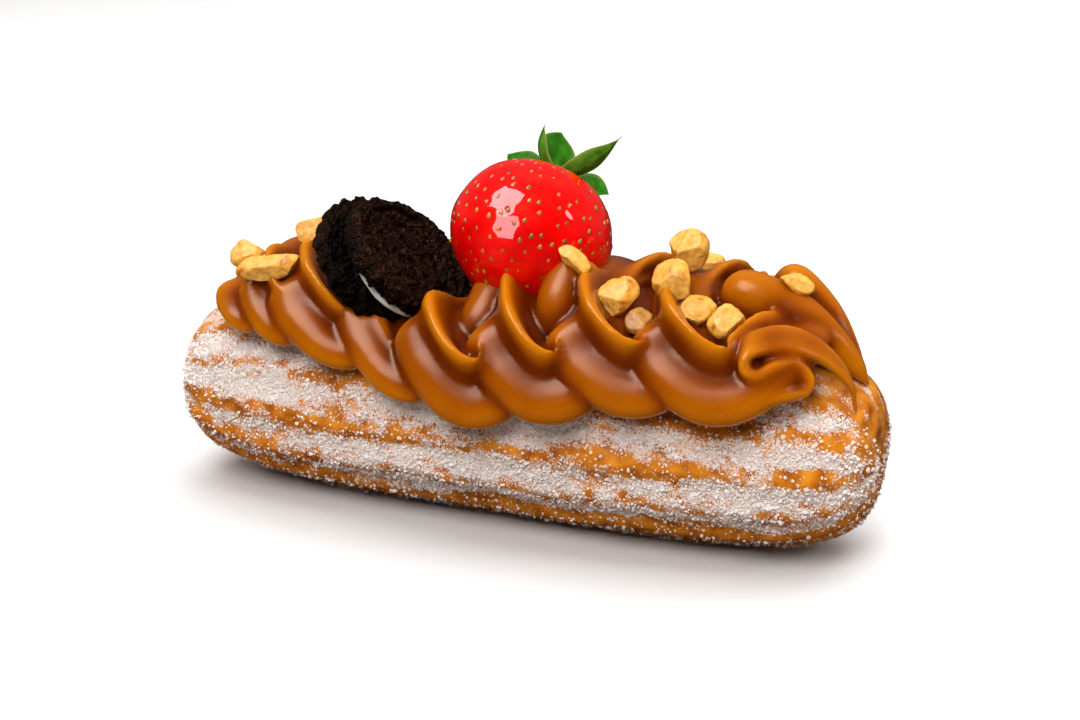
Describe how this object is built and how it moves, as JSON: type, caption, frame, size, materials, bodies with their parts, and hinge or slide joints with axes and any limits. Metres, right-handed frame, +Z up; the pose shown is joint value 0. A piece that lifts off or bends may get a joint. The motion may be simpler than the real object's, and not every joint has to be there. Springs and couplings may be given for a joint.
{
  "type": "topped churro",
  "caption": "Fluted sugared churro with a rope of piped caramel along its top, a sandwich cookie, a glazed strawberry and chopped peanuts.",
  "frame": {"origin": "middle of the dough's length and width, on its flat underside", "axes": "+X along the dough towards the caramel's drawn-out tail, -Y towards the open side of the caramel's loops, +Z up"},
  "size_m": [0.15, 0.0612, 0.0791],
  "materials": {
    "dough": "fried crust with granulated sugar",
    "caramel": "satin thick caramel",
    "wafer": "coarse dark baked wafer",
    "cream": "matte sugar cream",
    "strawberry": "glossy glaze over red flesh",
    "leaf": "soft green leaf",
    "peanut": "roasted, chopped"
  },
  "bodies": {
    "root": {"dough": "dough", "caramel": "caramel", "cookie_wafer_front": "wafer", "cookie_cream": "cream", "cookie_wafer_back": "wafer", "strawberry": "strawberry", "strawberry_calyx": "leaf", "peanut_01": "peanut", "peanut_02": "peanut", "peanut_03": "peanut", "peanut_04": "peanut", "peanut_05": "peanut", "peanut_06": "peanut", "peanut_07": "peanut", "peanut_08": "peanut", "peanut_09": "peanut", "peanut_10": "peanut", "peanut_11": "peanut", "peanut_12": "peanut", "peanut_13": "peanut", "peanut_14": "peanut"}
  },
  "joints": []
}
